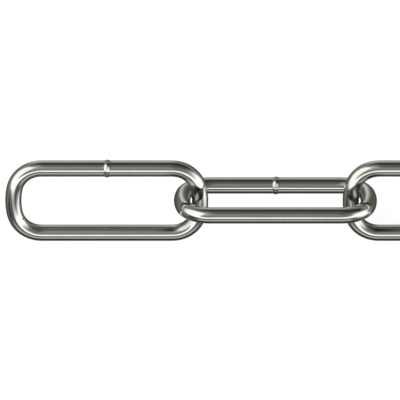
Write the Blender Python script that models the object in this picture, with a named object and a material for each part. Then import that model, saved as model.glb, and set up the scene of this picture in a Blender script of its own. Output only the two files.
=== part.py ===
"""Half a metre of long-link welded steel chain, laid out straight on a level floor.

Metres, +Z up. The chain runs along X, with its origin on the floor under its middle. Each link is one
round wire bent to a long loop and butt-welded in the middle of one straight bar. The links cross at
right angles and lean by turns to the +Y and the -Y side, so that each one lies on its lower bar.
"""

import bpy
import numpy as np

# Driving dimensions, metres and degrees
LINK_COUNT = 16
WIRE_RADIUS = 0.0015
LINK_OUTER_LENGTH = 0.0373
LINK_INNER_WIDTH = 0.0100
CROSSING_GAP = 0.0003
CROWN_RADIUS = 0.0130
CORNER_RADIUS = 0.00494
LEAN = 45.0

# Weld bead, all round the wire in the middle of one bar
BEAD_HEIGHT = 0.00015
BEAD_BASE = 0.0010
BEAD_TOP = 0.0004

# Facets of the wire and of its bends
WIRE_SIDES = 16
CROWN_STEPS = 3
CORNER_STEPS = 5

# Bright nickel on steel
STEEL_COLOUR = (0.66, 0.65, 0.62, 1.0)
STEEL_ROUGHNESS = 0.15

# Worked out from the above: the wire's centre line stands for the middle of its section
CENTRE_LENGTH = LINK_OUTER_LENGTH - 2 * WIRE_RADIUS
CENTRE_WIDTH = LINK_INNER_WIDTH + 2 * WIRE_RADIUS
PITCH = CENTRE_LENGTH - 2 * WIRE_RADIUS - CROSSING_GAP
HALF_FACET = np.pi / WIRE_SIDES
# A polygon of the same area as the round wire: its corners stand out a little and its flats lie in
CORNER_SHARE = np.sqrt(np.pi / (WIRE_SIDES * np.sin(HALF_FACET) * np.cos(HALF_FACET)))
FLAT_SHARE = CORNER_SHARE * np.cos(HALF_FACET)
BEAD_RISE = FLAT_SHARE * BEAD_HEIGHT


def clear_scene():
    """Removes what the scene holds before the model is made."""
    for thing in list(bpy.data.objects):
        bpy.data.objects.remove(thing, do_unlink=True)


def arc(centre_x, centre_y, radius, start, end, steps):
    """Points of an arc in the link's plane, both ends included, angles in radians."""
    angle = np.linspace(start, end, steps + 1)
    return np.column_stack((centre_x + radius * np.cos(angle), centre_y + radius * np.sin(angle)))


def end_line():
    """Centre line of a link's +X end, from the -Y bar round to the +Y bar.

    A wide crown arc meets a tight corner arc on each side. The corner's centre lies one corner radius in
    from the bar, and the two centres are apart by the difference of the radii, so that the arcs share a
    tangent.
    """
    corner_y = CENTRE_WIDTH / 2 - CORNER_RADIUS
    apart = CROWN_RADIUS - CORNER_RADIUS
    crown_x = CENTRE_LENGTH / 2 - CROWN_RADIUS
    corner_x = crown_x + np.sqrt(apart**2 - corner_y**2)
    meet = np.arcsin(corner_y / apart)
    quarter = np.pi / 2
    return np.vstack((
        arc(corner_x, -corner_y, CORNER_RADIUS, -quarter, -meet, CORNER_STEPS)[:-1],
        arc(crown_x, 0.0, CROWN_RADIUS, -meet, meet, CROWN_STEPS),
        arc(corner_x, corner_y, CORNER_RADIUS, meet, quarter, CORNER_STEPS)[1:],
    ))


def link_line():
    """Closed centre line of a link in its own XY plane, and each point's share of the wire's radius.

    The -X end is the +X end turned half round. The weld bead is four points in the middle of the +Y bar.
    """
    end = end_line()
    bead_x = np.array((BEAD_BASE, BEAD_TOP, -BEAD_TOP, -BEAD_BASE)) / 2
    bead = np.column_stack((bead_x, np.full(4, CENTRE_WIDTH / 2)))
    swell = 1 + BEAD_HEIGHT / WIRE_RADIUS
    plain = np.ones(len(end))
    line = np.vstack((end, bead, -end))
    share = np.concatenate((plain, (1.0, swell, swell, 1.0), plain))
    return line, share


def steel():
    """Bright, slightly warm plated steel."""
    material = bpy.data.materials.new("bright_steel")
    material.use_nodes = True
    shader = material.node_tree.nodes["Principled BSDF"]
    shader.inputs["Base Color"].default_value = STEEL_COLOUR
    shader.inputs["Metallic"].default_value = 1.0
    shader.inputs["Roughness"].default_value = STEEL_ROUGHNESS
    material.diffuse_color = STEEL_COLOUR
    return material


def link_curve(material):
    """The welded wire loop: a closed spline with a round bevel of flats, one of them facing inwards."""
    curve = bpy.data.curves.new("link", "CURVE")
    curve.dimensions = "3D"
    curve.twist_mode = "Z_UP"
    curve.bevel_depth = WIRE_RADIUS * CORNER_SHARE
    curve.bevel_resolution = WIRE_SIDES // 2 - 2
    line, share = link_line()
    spline = curve.splines.new("POLY")
    spline.points.add(len(line) - 1)
    spline.use_cyclic_u = True
    for point, (x, y), radius in zip(spline.points, line, share):
        point.co = (x, y, 0.0, 1.0)
        point.radius = radius
        point.tilt = HALF_FACET
    curve.materials.append(material)
    return curve


def lay_link(index, curve, chain):
    """Adds one link, leaning to its side, on its lower bar or on the weld bead where that is lowest."""
    weld_is_low = index % 2 == 1
    lean = np.radians(-LEAN if weld_is_low else LEAN)
    rest_height = CENTRE_WIDTH / 2 * np.sin(abs(lean)) + FLAT_SHARE * WIRE_RADIUS
    link = bpy.data.objects.new(f"link_{index + 1:02d}", curve)
    link.location = (
        (index - (LINK_COUNT - 1) / 2) * PITCH,
        0.0,
        rest_height + (BEAD_RISE if weld_is_low else 0.0),
    )
    link.rotation_euler = (lean, 0.0, 0.0)
    chain.objects.link(link)


def main():
    """Lays the links in a row along X."""
    clear_scene()
    chain = bpy.data.collections.new("long_link_steel_chain")
    bpy.context.scene.collection.children.link(chain)
    curve = link_curve(steel())
    for index in range(LINK_COUNT):
        lay_link(index, curve, chain)


main()
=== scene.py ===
"""Half a metre of bright long-link steel chain on a pale studio floor.

Metres, +Z up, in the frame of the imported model: the chain runs along X, and the floor is at Z = 0. Each
link is a round drawn wire bent to a long loop, butt-welded in the middle of one bar and nickel plated.
The links lean by turns to the back and to the front, so that they cross at right angles.
"""

import logging
from abc import ABC, abstractmethod
from dataclasses import dataclass, field
from enum import Enum
from typing import Any, NamedTuple

import bpy
import numpy as np
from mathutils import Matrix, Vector


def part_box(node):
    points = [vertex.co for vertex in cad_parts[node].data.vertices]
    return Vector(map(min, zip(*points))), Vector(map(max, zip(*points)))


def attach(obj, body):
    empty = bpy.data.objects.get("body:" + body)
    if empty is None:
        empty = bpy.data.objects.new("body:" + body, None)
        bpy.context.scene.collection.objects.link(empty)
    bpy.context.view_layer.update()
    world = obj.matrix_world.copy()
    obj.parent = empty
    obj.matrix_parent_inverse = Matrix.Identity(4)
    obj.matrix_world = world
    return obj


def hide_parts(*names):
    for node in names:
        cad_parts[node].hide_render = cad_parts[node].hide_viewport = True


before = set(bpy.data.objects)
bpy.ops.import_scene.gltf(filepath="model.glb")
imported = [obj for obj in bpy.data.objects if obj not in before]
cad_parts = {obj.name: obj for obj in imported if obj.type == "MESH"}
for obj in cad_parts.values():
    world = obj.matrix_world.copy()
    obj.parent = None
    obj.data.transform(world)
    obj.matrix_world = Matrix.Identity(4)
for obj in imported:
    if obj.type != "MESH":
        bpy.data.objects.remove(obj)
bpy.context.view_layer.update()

LOG = logging.getLogger("chain")
BODY = "root"
MILLIMETRE = 0.001
Colour = tuple[float, float, float]
WHITE: Colour = (1.0, 1.0, 1.0)


class Lean(Enum):
    """How a link leans on the floor. The value turns it about X, in degrees."""

    WELD_HIGH = 45.0
    WELD_LOW = -45.0

    @classmethod
    def of(cls, number: int) -> "Lean":
        """The lean of link 1, 2, 3 and so on: they take turns, and the first one has its weld high."""
        return cls.WELD_HIGH if number % 2 == 1 else cls.WELD_LOW

    @property
    def angle(self) -> float:
        """The turn about X in radians."""
        return float(np.radians(self.value))


class Term:
    """A number that varies over a surface: a node's socket with operators that each add a Math node."""

    def __init__(self, graph: "Graph", socket: bpy.types.NodeSocket) -> None:
        """Wraps one socket of a graph."""
        self.graph = graph
        self.socket = socket

    def math(self, operation: str, *others: "Term | float", swap: bool = False) -> "Term":
        """Adds a Math node.

        Args:
            operation: the Math node's operation.
            others: its further values.
            swap: whether this term comes last, as in 1 - mask.

        Returns:
            The node's result.
        """
        terms = (*others, self) if swap else (self, *others)
        node = self.graph.add("ShaderNodeMath", {"operation": operation}, dict(enumerate(terms)))
        return Term(self.graph, node.outputs[0])

    def __add__(self, other: "Term | float") -> "Term":
        """Sum."""
        return self.math("ADD", other)

    def __radd__(self, other: float) -> "Term":
        """Sum, number first."""
        return self.math("ADD", other)

    def __sub__(self, other: "Term | float") -> "Term":
        """Difference."""
        return self.math("SUBTRACT", other)

    def __rsub__(self, other: float) -> "Term":
        """Difference, number first."""
        return self.math("SUBTRACT", other, swap=True)

    def __mul__(self, other: "Term | float") -> "Term":
        """Product."""
        return self.math("MULTIPLY", other)

    def __rmul__(self, other: float) -> "Term":
        """Product, number first."""
        return self.math("MULTIPLY", other)

    def __truediv__(self, other: "Term | float") -> "Term":
        """Quotient."""
        return self.math("DIVIDE", other)

    def __abs__(self) -> "Term":
        """Distance from nought."""
        return self.math("ABSOLUTE")

    def step(self, start: float, end: float, low: float = 0.0, high: float = 1.0) -> "Term":
        """An S-shaped rise.

        Args:
            start: where it starts.
            end: where it ends.
            low: the result up to start.
            high: the result from end on.

        Returns:
            low + (high - low) * t * t * (3 - 2 * t), where t runs from 0 at start to 1 at end.
        """
        inputs = {"Value": self, "From Min": start, "From Max": end, "To Min": low, "To Max": high}
        node = self.graph.add("ShaderNodeMapRange", {"interpolation_type": "SMOOTHSTEP"}, inputs)
        return Term(self.graph, node.outputs["Result"])


class Graph:
    """A node tree under construction."""

    def __init__(self, tree: bpy.types.NodeTree) -> None:
        """Takes a material's or a world's tree and empties it."""
        self.tree = tree
        tree.nodes.clear()

    def add(
        self, kind: str, settings: dict[str, Any] | None = None, inputs: dict[int | str, Any] | None = None
    ) -> bpy.types.Node:
        """Adds a node.

        Args:
            kind: the node's type.
            settings: its own properties, set first.
            inputs: values, sockets or terms for its sockets, by name or place.

        Returns:
            The node.
        """
        node = self.tree.nodes.new(kind)
        for name, value in (settings or {}).items():
            setattr(node, name, value)
        for key, value in (inputs or {}).items():
            socket = node.inputs[key]
            if isinstance(value, Term):
                value = value.socket
            if isinstance(value, bpy.types.NodeSocket):
                self.tree.links.new(value, socket)
            else:
                socket.default_value = value
        return node

    def term(self, kind: str, output: str, settings: dict[str, Any] | None = None, **inputs: Any) -> Term:
        """Adds a node and wraps one of its outputs."""
        return Term(self, self.add(kind, settings, inputs).outputs[output])

    def parts(self, vector: bpy.types.NodeSocket) -> tuple[Term, Term, Term]:
        """The three numbers of a vector."""
        node = self.add("ShaderNodeSeparateXYZ", None, {"Vector": vector})
        return Term(self, node.outputs[0]), Term(self, node.outputs[1]), Term(self, node.outputs[2])

    def attribute(self, name: str) -> tuple[Term, Term, Term]:
        """The three numbers of a mesh's vector attribute."""
        node = self.add("ShaderNodeAttribute", {"attribute_name": name})
        return self.parts(node.outputs["Vector"])

    def blend(self, amount: Term, plain: Any, full: Any) -> bpy.types.NodeSocket:
        """Mixes two colours.

        Args:
            amount: 0 for the plain colour, 1 for the full one.
            plain: a colour or a socket.
            full: a colour or a socket.

        Returns:
            The mixed colour.
        """
        colours = [c if isinstance(c, bpy.types.NodeSocket) else (*c, 1.0) for c in (plain, full)]
        node = self.add("ShaderNodeMix", {"data_type": "RGBA"}, {0: amount, 6: colours[0], 7: colours[1]})
        return node.outputs[2]


def s_curve(values: np.ndarray, start: float | np.ndarray, end: float | np.ndarray) -> np.ndarray:
    """The S-shaped rise over an array, t * t * (3 - 2 * t), where t runs from 0 at start to 1 at end."""
    t = np.clip((values - start) / (end - start), 0.0, 1.0)
    return t * t * (3 - 2 * t)


class Course(NamedTuple):
    """Points along a link's wire, once round from the weld, with the arc length to each one."""

    along: np.ndarray
    x: np.ndarray
    y: np.ndarray
    heading: np.ndarray
    total: float


@dataclass(frozen=True)
class LoopLine:
    """Centre line of a link's wire: a flat loop round the origin, its bars along X, its weld on the +Y bar.

    At each end a wide crown joins two tight corners. The bends come and go over a short ease, as drawn
    wire bends.
    """

    length: float = 34.3 * MILLIMETRE
    width: float = 13.0 * MILLIMETRE
    crown_radius: float = 13.0 * MILLIMETRE
    corner_radius: float = 4.94 * MILLIMETRE
    ease: float = 1.2 * MILLIMETRE
    samples: int = 16384

    def stretches(self) -> tuple[float, float, float]:
        """Works out the stretches of one quarter of the loop.

        The corner's centre lies one corner radius in from the bar, and the centres of corner and crown
        are apart by the difference of their radii. The corner turns a quarter less the angle at which
        it meets the crown.

        Returns:
            Arc lengths of half a bar, one corner and half a crown.
        """
        corner_y = self.width / 2 - self.corner_radius
        apart = self.crown_radius - self.corner_radius
        meet = np.arcsin(corner_y / apart)
        bar = self.length / 2 - self.crown_radius + np.sqrt(apart**2 - corner_y**2)
        return bar, self.corner_radius * (np.pi / 2 - meet), self.crown_radius * meet

    def curvature(self, along: np.ndarray) -> np.ndarray:
        """Curvature by arc length: nought on a bar, one over the radius in a bend, linear over an ease.

        The loop is four like quarters by turns forwards and backwards, so the arc length is folded into
        the first.

        Args:
            along: arc lengths from the weld.

        Returns:
            The curvature at each.
        """
        bar, corner, crown = self.stretches()
        quarter = bar + corner + crown
        folded = np.abs((along + quarter) % (2 * quarter) - quarter)
        half = self.ease / 2
        knots = (bar - half, bar + half, bar + corner - half, bar + corner + half)
        tight, wide = 1 / self.corner_radius, 1 / self.crown_radius
        return np.interp(folded, knots, (0.0, tight, tight, wide))

    def course(self) -> Course:
        """Walks once round the loop.

        The heading is minus the running integral of the curvature, and the place is the running
        integral of the heading's cosine and sine, by the trapezium rule. The loop is then moved to the
        origin.

        Returns:
            The fine points of the walk.
        """
        total = 4 * sum(self.stretches())
        along = np.linspace(0.0, total, self.samples + 1)
        step = total / self.samples

        def running(rate: np.ndarray) -> np.ndarray:
            """Running integral of a rate, from nought."""
            return np.concatenate(((0.0,), np.cumsum((rate[1:] + rate[:-1]) / 2 * step)))

        heading = -running(self.curvature(along))
        x, y = running(np.cos(heading)), running(np.sin(heading))
        return Course(along, x - (x.max() + x.min()) / 2, y - (y.max() + y.min()) / 2, heading, total)


@dataclass(frozen=True)
class WeldBead:
    """The low ridge of a butt weld, all round the wire.

    It lies a little past the bar's middle and wanders along it, and no two are quite alike: the waves
    of its middle and its height are shifted by a phase, in radians, that changes from link to link.
    """

    height: float = 0.21 * MILLIMETRE
    half_width: float = 0.50 * MILLIMETRE
    roundness: float = 0.08
    offset: float = 0.10 * MILLIMETRE
    wander: float = 0.05 * MILLIMETRE
    short_wander: float = 0.5
    unevenness: float = 0.08
    short_unevenness: float = 0.6
    first_phase: float = 2.8
    phase_step: float = -0.4

    def height_at(self, along: np.ndarray, turn: np.ndarray, number: int) -> np.ndarray:
        """How far the bead stands out of the wire.

        The ridge is a roof with a rounded top: (sqrt(1 + r*r) - sqrt(u*u + r*r)) / (sqrt(1 + r*r) - r)
        for u from -1 to 1, where u is the distance from the bead's wandering middle in half widths and
        r is the roundness. Its middle wanders with one wave and three shorter ones round the wire, and
        its height shrinks with two and three.

        Args:
            along: signed arc length from the weld, one row per ring.
            turn: angle round the wire, from level at the back over the top to the front, one column per
                side.
            number: the link's number, which shifts the waves.

        Returns:
            Heights, rings by sides.
        """
        phase = self.first_phase + self.phase_step * number
        waves = np.sin(turn + phase) + self.short_wander * np.sin(3 * turn + 2 * phase)
        middle = self.offset + self.wander * waves
        swells = np.cos(2 * turn + phase) + self.short_unevenness * np.cos(3 * turn - phase)
        share = 1 + self.unevenness * (swells - (1 + self.short_unevenness))
        across = np.clip((along - middle) / self.half_width, -1.0, 1.0)
        foot = np.hypot(1.0, self.roundness)
        return self.height * share * (foot - np.hypot(across, self.roundness)) / (foot - self.roundness)


class Speckle(NamedTuple):
    """A noise on the wire: the width of its spots, how much longer they are along it, and its detail."""

    width: float
    stretch: float
    detail: float


class Rise(NamedTuple):
    """An S-shaped rise of a noise: where it starts and ends, and its result before and after."""

    start: float
    end: float
    low: float = 0.0
    high: float = 1.0


@dataclass(frozen=True)
class BrightNickel:
    """Bright, slightly warm nickel over drawn wire.

    Fine draw lines run along the wire, faint clouds dull the gloss in places, the weld is rougher and a
    little browner, and the crowns are rubbed where the links bear on each other. A dark brown painted
    shade lies in the crossings and on top of the low bars beside them, where the neighbouring links shade
    the wire.
    """

    name: str = "bright_nickel"
    colour: Colour = (0.645, 0.634, 0.61)
    dull_colour: Colour = (0.56, 0.548, 0.518)
    heat_colour: Colour = (0.50, 0.475, 0.43)
    # painted shade: the dark brown laid in the crossings and on the low bars beside them
    painted_shade_colour: Colour = (0.10, 0.092, 0.078)
    gloss_roughness: float = 0.05
    line_roughness: float = 0.03
    cloud_roughness: float = 0.03
    weld_roughness: float = 0.03
    rub_roughness: float = 0.04
    line_speckle: Speckle = Speckle(0.16 * MILLIMETRE, 60.0, 2.0)
    cloud_speckle: Speckle = Speckle(2.2 * MILLIMETRE, 2.5, 4.0)
    grain_speckle: Speckle = Speckle(0.12 * MILLIMETRE, 1.0, 2.0)
    speckle_roughness: float = 0.6
    link_shift: float = 7.3
    line_gloss_rise: Rise = Rise(0.35, 0.75)
    line_tint_rise: Rise = Rise(0.5, 0.8)
    cloud_rise: Rise = Rise(0.42, 0.68)
    rub_rise: Rise = Rise(0.3, 0.7)
    heat_rise: Rise = Rise(0.35, 0.75, 0.0, 0.7)
    painted_shade_rise: Rise = Rise(0.25, 0.7, 0.8, 1.0)
    line_tint: float = 0.25
    cloud_tint: float = 0.45
    line_depth: float = 0.0012 * MILLIMETRE
    grain_depth: float = 0.006 * MILLIMETRE
    rub_grain: float = 0.35

    def around_wire(self, graph: Graph, speckle: Speckle) -> Term:
        """A noise wrapped round the wire without a seam, in four dimensions.

        Two dimensions follow a circle, once round it for once round the loop, and two are the place in
        the section. The fourth is shifted from link to link.

        Args:
            graph: where the nodes go.
            speckle: the noise's measures.

        Returns:
            The noise, about 0.5 on average.
        """
        circle_x, circle_y, number = graph.attribute("course")
        section_y, section_z, _ = graph.attribute("section")
        round_loop = WIRE_LOOP_LENGTH / (2 * np.pi * speckle.width * speckle.stretch)
        across = 1 / speckle.width
        place = graph.add(
            "ShaderNodeCombineXYZ",
            None,
            {0: circle_x * round_loop, 1: circle_y * round_loop, 2: section_y * across},
        )
        return graph.term(
            "ShaderNodeTexNoise",
            "Fac",
            {"noise_dimensions": "4D"},
            Vector=place.outputs[0],
            W=section_z * across + number * self.link_shift,
            Scale=1.0,
            Detail=speckle.detail,
            Roughness=self.speckle_roughness,
        )

    def material(self) -> bpy.types.Material:
        """Builds the material.

        Returns:
            The material, with its nodes.
        """
        material = bpy.data.materials.new(self.name)
        material.use_nodes = True
        graph = Graph(material.node_tree)
        weld, rub, painted_shade = graph.attribute("marks")
        lines = self.around_wire(graph, self.line_speckle)
        clouds = self.around_wire(graph, self.cloud_speckle).step(*self.cloud_rise)
        grain = self.around_wire(graph, self.grain_speckle)
        rough = (
            self.gloss_roughness
            + lines.step(*self.line_gloss_rise) * self.line_roughness
            + clouds * self.cloud_roughness
            + weld * self.weld_roughness
            + rub * grain.step(*self.rub_rise) * self.rub_roughness
        )
        dull = clouds * self.cloud_tint + lines.step(*self.line_tint_rise) * self.line_tint
        colour = graph.blend(dull, self.colour, self.dull_colour)
        colour = graph.blend(weld * grain.step(*self.heat_rise), colour, self.heat_colour)
        # Painted shade: darkens the plate in the crossings and on the low bars beside them, where the
        # neighbouring links shade the wire.
        colour = graph.blend(painted_shade * grain.step(*self.painted_shade_rise), colour, self.painted_shade_colour)
        relief = lines * self.line_depth + grain * (weld + rub * self.rub_grain) * self.grain_depth
        bump = graph.add("ShaderNodeBump", None, {"Strength": 1.0, "Distance": 1.0, "Height": relief})
        shader = graph.add(
            "ShaderNodeBsdfPrincipled",
            None,
            {"Base Color": colour, "Metallic": 1.0, "Roughness": rough, "Normal": bump.outputs[0]},
        )
        graph.add("ShaderNodeOutputMaterial", None, {"Surface": shader.outputs[0]})
        return material


@dataclass(frozen=True)
class PaleFloor:
    """A plain, near-white matt sweep that glows a little, so that only faint shadows show on it."""

    name: str = "pale_floor"
    colour: Colour = (0.30, 0.30, 0.30)
    glow: float = 0.89
    roughness: float = 0.9

    def material(self) -> bpy.types.Material:
        """Builds the material.

        Returns:
            The material, with its nodes.
        """
        material = bpy.data.materials.new(self.name)
        material.use_nodes = True
        graph = Graph(material.node_tree)
        shader = graph.add(
            "ShaderNodeBsdfPrincipled",
            None,
            {
                "Base Color": (*self.colour, 1.0),
                "Roughness": self.roughness,
                "Specular IOR Level": 0.0,
                "Emission Color": (*WHITE, 1.0),
                "Emission Strength": self.glow,
            },
        )
        graph.add("ShaderNodeOutputMaterial", None, {"Surface": shader.outputs[0]})
        return material


WIRE_LOOP_LENGTH = LoopLine().course().total


class PaintedHollowShade(NamedTuple):
    """Painted shade at one place inside a bend, where the neighbouring link shades the wire.

    The place is the arc length from the crown's middle towards the high bar. Start is how far a side
    has to face inwards, from -1 to 1, before any painted shade lies on it, and the amount is what the
    innermost side has.
    """

    place: float
    amount: float
    start: float


@dataclass
class Link:
    """One link of the chain, with its sizes, standing for the frame's solid of the same number.

    Rings of the skin are bar_spacing apart on a bar and turn_spacing, an angle, in a bend, and
    weld_rings more lie at the weld. The weld's marks reach weld_reach half widths of the bead. The
    painted shade in a bend rises over hollow_blur from its start. The painted shade streak on a low bar
    lies about shade_streak_middle past the crown's middle and reaches further at the left end. Its
    shade_streak_tilt gives two cosines of a side's angle from straight up: none lies below the first,
    and all of it above the second.
    """

    number: int
    count: int
    wire_radius: float = 1.5 * MILLIMETRE
    line: LoopLine = field(default_factory=LoopLine)
    bead: WeldBead = field(default_factory=WeldBead)
    solid_bead: float = 0.15 * MILLIMETRE
    sides: int = 56
    bar_spacing: float = 1.1 * MILLIMETRE
    turn_spacing: float = np.radians(3.0)
    weld_rings: int = 36
    weld_reach: float = 1.6
    rub_reach: float = 2.2 * MILLIMETRE
    # painted shade inside the bends, where the neighbouring link shades the wire
    painted_hollow_shade: tuple[PaintedHollowShade, ...] = (
        PaintedHollowShade(-9.5 * MILLIMETRE, 0.0, 0.2),
        PaintedHollowShade(-7.0 * MILLIMETRE, 0.5, 0.2),
        PaintedHollowShade(3.5 * MILLIMETRE, 0.5, 0.2),
        PaintedHollowShade(5.5 * MILLIMETRE, 0.85, -0.15),
        PaintedHollowShade(8.5 * MILLIMETRE, 0.85, -0.15),
        PaintedHollowShade(10.5 * MILLIMETRE, 0.0, -0.15),
    )
    hollow_blur: float = 0.75
    # painted shade streak on top of a low bar, under the neighbour's crown
    shade_streak_middle: float = 9.6 * MILLIMETRE
    shade_streak_reach: tuple[float, float] = (3.2 * MILLIMETRE, 1.5 * MILLIMETRE)
    shade_streak_tilt: tuple[float, float] = (0.95, 0.998)

    @property
    def node(self) -> str:
        """Name of the solid that the link stands for."""
        return f"link_{self.number:02d}"

    @property
    def lean(self) -> Lean:
        """The side to which the link leans."""
        return Lean.of(self.number)

    def centre(self) -> np.ndarray:
        """Finds the loop's place from the frame's solid, whose box holds the bead on one side.

        Returns:
            The solid's middle, less half its bead's height towards the welded bar.
        """
        low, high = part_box(self.node)
        weld_side = np.sign((0.0, np.cos(self.lean.angle), np.sin(self.lean.angle)))
        return np.array((low + high) / 2) - weld_side * self.solid_bead / 2

    def rings(self, course: Course) -> np.ndarray:
        """Arc lengths of the rings, closer together in the bends and at the weld.

        The density is one over the bar spacing, plus the curvature over the turn spacing, plus a bell
        at the weld. Its running sum is cut into equal steps.

        Args:
            course: the wire's fine points.

        Returns:
            One arc length per ring.
        """
        from_weld = self.signed(course.along, course.total)
        bell = np.exp(-((from_weld / self.bead.half_width) ** 2)) / (self.bead.half_width * np.sqrt(np.pi))
        density = (
            1 / self.bar_spacing
            + self.line.curvature(course.along) / self.turn_spacing
            + self.weld_rings * bell
        )
        running = np.cumsum(density) * course.total / len(density)
        count = int(round(running[-1]))
        return np.interp(np.arange(count) / count * running[-1], running, course.along)

    @staticmethod
    def signed(along: np.ndarray, total: float) -> np.ndarray:
        """Arc length from the weld, minus before it and plus after it."""
        return (along + total / 2) % total - total / 2

    def surface(self) -> tuple[np.ndarray, dict[str, np.ndarray]]:
        """Carries the round section along the wire.

        A point is centre line + r * (cos(turn) * out + sin(turn) * up), where out points away from the
        loop's middle in its plane, up is square to the plane, and r is the wire's radius plus the
        bead's height. The loop is then turned about X by the lean and moved to the link's centre.

        Returns:
            Places, rings by sides by 3, and each attribute's values in the same shape.
        """
        course = self.line.course()
        along = self.rings(course)
        x, y, heading = (
            np.interp(along, course.along, v)[:, None] for v in (course.x, course.y, course.heading)
        )
        turn = np.linspace(0.0, 2 * np.pi, self.sides, endpoint=False)
        from_weld = self.signed(along, course.total)[:, None]
        radius = self.wire_radius + self.bead.height_at(from_weld, turn + self.lean.angle, self.number)
        out, up = radius * np.cos(turn), radius * np.sin(turn)
        flat_x, flat_y = x - np.sin(heading) * out, y + np.cos(heading) * out
        tilt_cos, tilt_sin = np.cos(self.lean.angle), np.sin(self.lean.angle)
        places = np.stack(
            (flat_x, flat_y * tilt_cos - up * tilt_sin, flat_y * tilt_sin + up * tilt_cos), -1
        )
        return places + self.centre(), self.attributes(from_weld, np.cos(heading), course.total, out, up)

    def attributes(
        self, from_weld: np.ndarray, level: np.ndarray, total: float, out: np.ndarray, up: np.ndarray
    ) -> dict[str, np.ndarray]:
        """Values that the finish reads.

        Args:
            from_weld: signed arc length from the weld, one row per ring.
            level: cosine of the wire's heading, 1 or -1 on a bar.
            total: arc length once round the loop.
            out: place in the section away from the loop's middle, rings by sides.
            up: place in the section square to the loop, rings by sides.

        Returns:
            course: a circle once round the loop, and the link's number.
            section: the place in the wire's section.
            marks: 1 on the weld, 1 where a crown is rubbed, and the painted shade, each fading at its
                edges.
        """
        blank = np.zeros_like(out)
        circle = 2 * np.pi * from_weld / total
        weld = np.exp(-((from_weld / (self.weld_reach * self.bead.half_width)) ** 4))
        from_crown = np.abs(from_weld) - total / 4
        inner = np.clip(-out / self.wire_radius, 0.0, 1.0) ** 2
        rub = np.exp(-((from_crown / self.rub_reach) ** 2)) * inner
        # painted shade where the neighbouring links shade the wire
        painted_shade = self.painted_shade(from_weld, from_crown, level, out, up)
        return {
            "course": np.stack((np.cos(circle) + blank, np.sin(circle) + blank, blank + self.number), -1),
            "section": np.stack((out, up, blank), -1),
            "marks": np.stack((weld + blank, rub, painted_shade), -1),
        }

    def painted_shade(
        self,
        from_weld: np.ndarray,
        from_crown: np.ndarray,
        level: np.ndarray,
        out: np.ndarray,
        up: np.ndarray,
    ) -> np.ndarray:
        """Painted shade in the crowns that hold a neighbour, and on top of a low bar beside the neighbour's
        crown.

        The first is a profile round the bend from its low corner to its high one, times an S curve of how
        far the wire's side faces inwards, which reaches further round the wire in the high corner. The
        second is a bell along the bar's end, longer at the left end, times an S curve of how far the side
        faces up. Only links with the weld high have it.

        Args:
            from_weld: signed arc length from the weld, one row per ring.
            from_crown: arc length past the crown's middle, minus on the welded side.
            level: cosine of the wire's heading, 1 or -1 on a bar.
            out: place in the section away from the loop's middle.
            up: place in the section square to the loop.

        Returns:
            Amounts from 0 to 1, rings by sides.
        """
        held = np.where(from_weld > 0, self.number < self.count, self.number > 1)
        weld_high = self.lean is Lean.WELD_HIGH
        towards_high = -from_crown if weld_high else from_crown
        places, amounts, starts = np.transpose(self.painted_hollow_shade)
        start = np.interp(towards_high, places, starts)
        inner = s_curve(-out / self.wire_radius, start, start + self.hollow_blur)
        hollow_shade = np.interp(towards_high, places, amounts) * inner
        # painted shade streak on top of the low bar, under the neighbour's crown
        facing = (out * level * np.sin(self.lean.angle) + up * np.cos(self.lean.angle)) / self.wire_radius
        reach = np.where(from_weld < 0, *self.shade_streak_reach)
        bell = np.exp(-(((from_crown - self.shade_streak_middle) / reach) ** 2))
        shade_streak = bell * s_curve(facing, *self.shade_streak_tilt) * weld_high
        return held * np.maximum(hollow_shade, shade_streak)

    def mesh(self) -> bpy.types.Mesh:
        """Makes the closed skin of quads: each ring joined to the next, and the last one to the first.

        Returns:
            The mesh, with its attributes.
        """
        places, attributes = self.surface()
        rings, sides, _ = places.shape
        corner = np.arange(rings * sides).reshape(rings, sides)
        beside, ahead = np.roll(corner, -1, axis=1), np.roll(corner, -1, axis=0)
        quads = np.stack((corner, beside, np.roll(beside, -1, axis=0), ahead), -1).reshape(-1, 4)
        mesh = bpy.data.meshes.new(f"wire_{self.number:02d}")
        mesh.vertices.add(rings * sides)
        mesh.vertices.foreach_set("co", places.ravel())
        mesh.loops.add(quads.size)
        mesh.loops.foreach_set("vertex_index", quads.ravel())
        mesh.polygons.add(len(quads))
        mesh.polygons.foreach_set("loop_start", np.arange(0, quads.size, 4))
        mesh.update(calc_edges=True)
        for name, values in attributes.items():
            layer = mesh.attributes.new(name, "FLOAT_VECTOR", "POINT")
            layer.data.foreach_set("vector", values.ravel())
        mesh.shade_smooth()
        return mesh

    def build(self, finish: bpy.types.Material) -> bpy.types.Object:
        """Makes the link, dresses it and puts it in its solid's place.

        Args:
            finish: the plate's material.

        Returns:
            The finished piece.
        """
        mesh = self.mesh()
        mesh.materials.append(finish)
        piece = bpy.data.objects.new(f"chain_link_{self.number:02d}", mesh)
        bpy.context.scene.collection.objects.link(piece)
        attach(piece, BODY)
        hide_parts(self.node)
        LOG.info("%s: %d faces, %s", piece.name, len(mesh.polygons), self.lean.name.lower())
        return piece


class Direction(NamedTuple):
    """A direction as the chain sees it, in degrees.

    Azimuth 0 is the front (-Y), 90 the right (+X). Elevation is above the horizon.
    """

    azimuth: Term
    elevation: Term

    def turn_from(self, azimuth: float) -> Term:
        """How far it lies to the right of an azimuth, from -180 to 180."""
        return (self.azimuth - azimuth).math("WRAP", 180.0, -180.0)


@dataclass(frozen=True)
class Patch(ABC):
    """A soft patch of light, or of shade, round the chain, with its level and how warm it is."""

    name: str
    level: float
    warmth: float

    @abstractmethod
    def mask(self, way: Direction) -> Term:
        """How far the patch covers a direction, from 0 to 1, falling in an S across its soft edge."""


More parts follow.
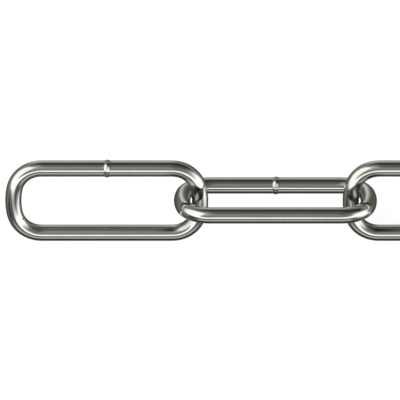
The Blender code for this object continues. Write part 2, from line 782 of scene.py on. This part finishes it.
@dataclass(frozen=True)
class Panel(Patch):
    """A patch with upright ends and level edges.

    The bottom edge hangs by droop at the ends, as a parabola.
    """

    azimuth: float
    half_width: float
    bottom: float
    top: float
    softness: float
    droop: float = 0.0

    def mask(self, way: Direction) -> Term:
        """The product of three S curves: over both ends, the bottom and the top edge.

        Args:
            way: the direction.

        Returns:
            How far the panel covers it.
        """
        turn, soft = way.turn_from(self.azimuth), self.softness
        along = abs(turn).step(self.half_width - soft, self.half_width + soft, 1.0, 0.0)
        hang = turn * turn * (self.droop / self.half_width**2)
        over = (way.elevation + hang).step(self.bottom - soft, self.bottom + soft)
        return along * over * way.elevation.step(self.top - soft, self.top + soft, 1.0, 0.0)


@dataclass(frozen=True)
class Oval(Patch):
    """A patch with one round edge."""

    azimuth: float
    elevation: float
    half_width: float
    half_height: float
    softness: float

    def mask(self, way: Direction) -> Term:
        """An S curve of the distance sqrt((aside / half_width)**2 + (above / half_height)**2).

        Args:
            way: the direction.

        Returns:
            How far the oval covers it.
        """
        across = way.turn_from(self.azimuth) / self.half_width
        above = (way.elevation - self.elevation) / self.half_height
        share = self.softness / self.half_width
        return (across * across + above * above).math("SQRT").step(1 - share, 1 + share, 1.0, 0.0)


@dataclass
class Studio:
    """Floor, light and camera.

    The camera looks down steeply on the chain's left end, as in the photograph. The light of the bare
    room is given as pairs of elevation and level, and the patches lie over it in their order. The
    camera itself sees the plain backdrop there.
    """

    room: tuple[tuple[float, float], ...] = (
        (-90.0, 0.11), (-70.0, 0.16), (-56.0, 0.06), (-40.0, 0.11),
        (-20.0, 0.20), (0.0, 0.30), (60.0, 0.25), (90.0, 0.15),
    )
    room_warmth: float = 0.2
    patches: tuple[Patch, ...] = (
        Oval(
            "overhead card", level=0.50, warmth=0.3,
            azimuth=-80.0, elevation=77.0, half_width=80.0, half_height=26.0, softness=27.0,
        ),
        Oval(
            "low shade at the right back", level=0.12, warmth=0.5,
            azimuth=141.0, elevation=-20.0, half_width=21.0, half_height=21.0, softness=8.0,
        ),
        Oval(
            "low card at the back", level=0.90, warmth=0.15,
            azimuth=-172.0, elevation=-14.0, half_width=9.5, half_height=15.0, softness=12.0,
        ),
        Oval(
            "high shade at the right back", level=0.11, warmth=0.6,
            azimuth=140.0, elevation=66.5, half_width=45.0, half_height=15.0, softness=12.0,
        ),
        Oval(
            "back flag", level=0.04, warmth=1.0,
            azimuth=158.0, elevation=40.0, half_width=47.0, half_height=18.0, softness=18.0,
        ),
        Panel(
            "pit under the front card", level=0.035, warmth=0.0,
            azimuth=-3.0, half_width=43.0, bottom=-54.0, top=-30.0, softness=9.0,
        ),
        Panel(
            "gap between front card and strip", level=0.135, warmth=0.1,
            azimuth=-2.0, half_width=34.0, bottom=1.0, top=24.0, softness=2.5,
        ),
        Panel(
            "front card", level=0.66, warmth=0.0,
            azimuth=-1.0, half_width=29.0, bottom=-19.0, top=1.0, softness=3.0,
        ),
        Oval(
            "left gap", level=0.05, warmth=0.0,
            azimuth=-49.0, elevation=-4.0, half_width=14.0, half_height=14.0, softness=7.0,
        ),
        Oval(
            "right gap", level=0.10, warmth=0.0,
            azimuth=44.0, elevation=-1.0, half_width=18.0, half_height=10.0, softness=4.5,
        ),
        Panel(
            "halo over the strip", level=0.70, warmth=0.05,
            azimuth=39.0, half_width=43.0, bottom=31.0, top=47.0, softness=7.5,
        ),
        Oval(
            "left bank", level=1.55, warmth=0.05,
            azimuth=-89.0, elevation=43.0, half_width=43.0, half_height=35.5, softness=11.0,
        ),
        Oval(
            "right bank", level=1.80, warmth=0.05,
            azimuth=75.5, elevation=13.0, half_width=26.5, half_height=31.5, softness=16.5,
        ),
        Panel(
            "front strip", level=1.58, warmth=0.0,
            azimuth=-1.0, half_width=62.0, bottom=20.5, top=38.2, softness=3.0, droop=7.5,
        ),
    )
    warm_tint: Colour = (1.0, 0.985, 0.78)
    backdrop: float = 1.0
    elevation: float = 70.0
    lens: float = 980.0
    sensor: float = 36.0
    view_width: float = 73.5 * MILLIMETRE
    view_middle: float = 35.75 * MILLIMETRE
    view_rise: float = 0.10 * MILLIMETRE
    clip: tuple[float, float] = (0.1, 100.0)
    floor_radius: float = 9.0
    floor_sides: int = 96
    floor_drop: float = 0.07 * MILLIMETRE

    def light(self) -> None:
        """Makes the world: the room's light by elevation, with the cards, strips and shades laid over it.

        Over each patch both the light and its warmth become value + (patch value - value) * mask.
        """
        world = bpy.data.worlds.new("studio")
        bpy.context.scene.world = world
        world.use_nodes = True
        graph = Graph(world.node_tree)
        x, y, z = graph.parts(graph.add("ShaderNodeTexCoord").outputs["Generated"])
        azimuth = x.math("ARCTAN2", y * -1.0).math("DEGREES")
        way = Direction(azimuth, z.math("ARCSINE").math("DEGREES"))
        (start, level), *rest = self.room
        light: Term | float = level
        for end, target in rest:
            light = light + way.elevation.step(start, end, 0.0, target - level)
            start, level = end, target
        warmth: Term | float = self.room_warmth
        for patch in self.patches:
            mask = patch.mask(way)
            light = light + (patch.level - light) * mask
            warmth = warmth + (patch.warmth - warmth) * mask
            LOG.info("light: %s", patch.name)
        seen = graph.term("ShaderNodeLightPath", "Is Camera Ray")
        strength = light + (self.backdrop - light) * seen
        colour = graph.blend(warmth * (1.0 - seen), WHITE, self.warm_tint)
        background = graph.add("ShaderNodeBackground", None, {"Color": colour, "Strength": strength})
        graph.add("ShaderNodeOutputWorld", None, {"Surface": background.outputs[0]})

    def floor(self) -> bpy.types.Object:
        """Makes the floor, a wide disc that the polished wire doesn't mirror.

        Returns:
            The floor.
        """
        turn = np.linspace(0.0, 2 * np.pi, self.floor_sides, endpoint=False)
        rim = self.floor_radius * np.column_stack((np.cos(turn), np.sin(turn), np.zeros_like(turn)))
        rim[:, 2] = -self.floor_drop
        mesh = bpy.data.meshes.new("floor")
        mesh.from_pydata(rim.tolist(), [], [list(range(self.floor_sides))])
        mesh.materials.append(PaleFloor().material())
        floor = bpy.data.objects.new("floor", mesh)
        bpy.context.scene.collection.objects.link(floor)
        floor.visible_glossy = False
        return floor

    def camera(self) -> bpy.types.Object:
        """Makes the camera: a long lens, so far off that the view's width at the chain is view_width.

        The distance is lens * view_width / sensor.

        Returns:
            The camera.
        """
        low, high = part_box("link_01")
        tilt = np.radians(self.elevation)
        back = Vector((0.0, -np.cos(tilt), np.sin(tilt)))
        up = Vector((0.0, np.sin(tilt), np.cos(tilt)))
        aim = Vector((low.x + self.view_middle, 0.0, (low.z + high.z) / 2)) + up * self.view_rise
        data = bpy.data.cameras.new("camera")
        data.lens, data.sensor_width = self.lens, self.sensor
        data.clip_start, data.clip_end = self.clip
        camera = bpy.data.objects.new("camera", data)
        camera.location = aim + back * (self.lens * self.view_width / self.sensor)
        camera.rotation_euler = (-back).to_track_quat("-Z", "Y").to_euler()
        bpy.context.scene.collection.objects.link(camera)
        bpy.context.scene.camera = camera
        return camera

    def build(self) -> None:
        """Sets up the whole studio, with colours shown as they are."""
        self.light()
        self.floor()
        self.camera()
        bpy.context.scene.view_settings.view_transform = "Standard"
        LOG.info("studio: floor, light and camera")


def main() -> None:
    """Builds the studio, then the links in order from the left."""
    logging.basicConfig(level=logging.INFO, format="%(name)s: %(message)s")
    Studio().build()
    finish = BrightNickel().material()
    count = len(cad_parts)
    for number in range(1, count + 1):
        Link(number, count).build(finish)


if __name__ == "__main__":
    main()
